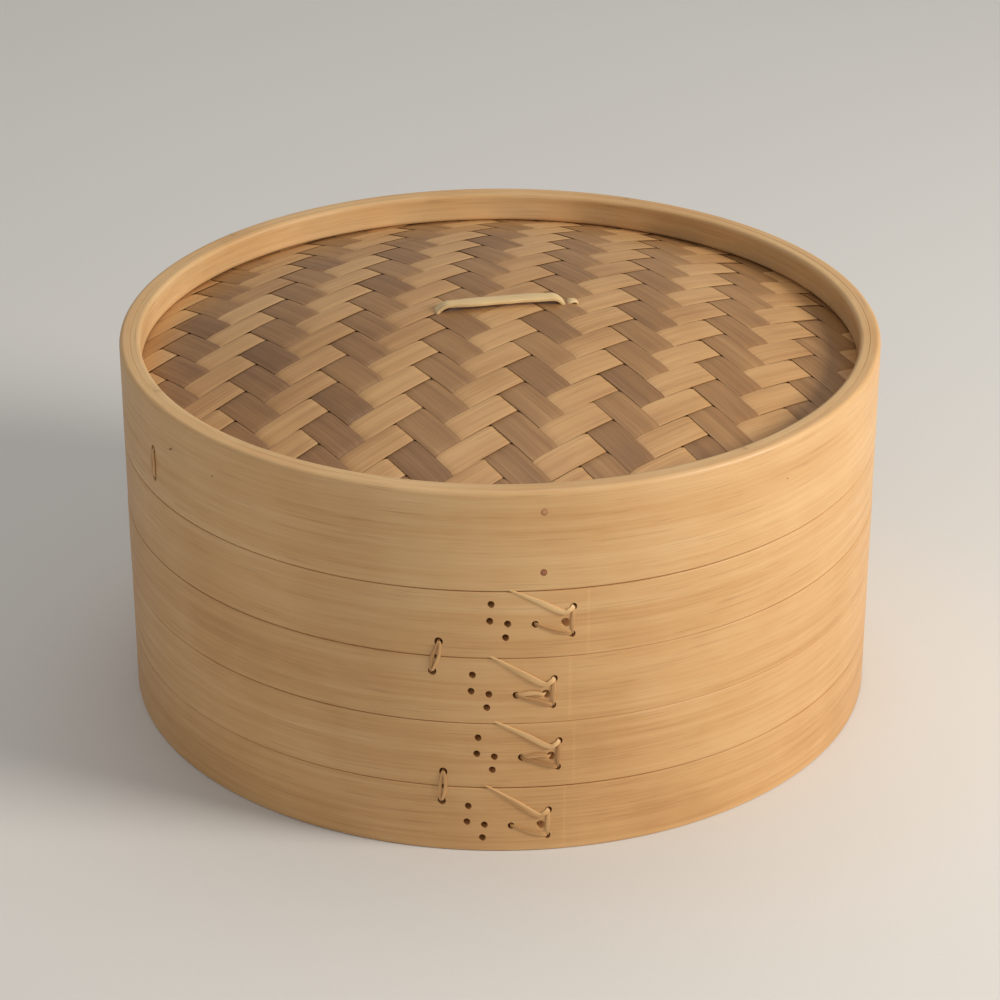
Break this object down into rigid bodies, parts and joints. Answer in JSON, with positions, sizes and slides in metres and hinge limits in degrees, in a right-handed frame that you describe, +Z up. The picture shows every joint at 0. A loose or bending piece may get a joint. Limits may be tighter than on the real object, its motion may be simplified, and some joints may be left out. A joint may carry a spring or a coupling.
{
  "type": "bamboo steamer basket",
  "caption": "Round two-tier bamboo steamer basket: laced bands on inner hoops, slatted floors, nesting spigots and a domed woven lid with a strip handle.",
  "frame": {"origin": "centre of the lower tier's resting edge, on the resting plane", "axes": "+Z up along the stack's axis; -Y is the front, where the laced laps of the bands are; +X is to the right of the front"},
  "size_m": [0.24, 0.2414, 0.1294],
  "materials": {
    "band_bamboo": "smooth planed bamboo, satin",
    "hoop_bamboo": "planed bamboo, satin",
    "slat_bamboo": "split bamboo, matt",
    "strand_bamboo": "split bamboo skin, satin",
    "woven_bamboo": "woven bamboo splints, satin",
    "liner_paper": "plain unbleached paper"
  },
  "bodies": {
    "lower_tier": {"lower_inner_hoop": "hoop_bamboo", "lower_bottom_band": "band_bamboo", "lower_top_band": "band_bamboo", "lower_cross_bars": "hoop_bamboo", "lower_floor_slats": "slat_bamboo", "lower_retaining_ring": "hoop_bamboo", "lower_ring_pegs": "slat_bamboo", "lower_bottom_lashing": "strand_bamboo", "lower_top_lashing": "strand_bamboo", "lower_front_tie": "strand_bamboo", "lower_back_tie": "strand_bamboo"},
    "upper_tier": {"upper_inner_hoop": "hoop_bamboo", "upper_bottom_band": "band_bamboo", "upper_top_band": "band_bamboo", "upper_cross_bars": "hoop_bamboo", "upper_floor_slats": "slat_bamboo", "upper_retaining_ring": "hoop_bamboo", "upper_ring_pegs": "slat_bamboo", "upper_bottom_lashing": "strand_bamboo", "upper_top_lashing": "strand_bamboo", "upper_front_tie": "strand_bamboo", "upper_back_tie": "strand_bamboo"},
    "lid": {"lid_outer_hoop": "band_bamboo", "lid_top_ring": "hoop_bamboo", "lid_inner_ring": "hoop_bamboo", "lid_rib_ring": "hoop_bamboo", "lid_woven_top": "woven_bamboo", "lid_paper_liner": "liner_paper", "lid_inner_mat": "woven_bamboo", "lid_upper_rib": "slat_bamboo", "lid_lower_rib": "slat_bamboo", "lid_handle": "strand_bamboo", "lid_handle_keys": "slat_bamboo", "lid_lashing": "strand_bamboo", "lid_left_tie": "strand_bamboo", "lid_right_tie": "strand_bamboo", "lid_pegs": "slat_bamboo"}
  },
  "joints": [
    {"name": "upper_tier_lift", "type": "slide", "parent": "lower_tier", "child": "upper_tier", "axis": [0, 0, 1], "range_m": [0, 0.1]},
    {"name": "lid_lift", "type": "slide", "parent": "upper_tier", "child": "lid", "axis": [0, 0, 1], "range_m": [0, 0.1]}
  ]
}
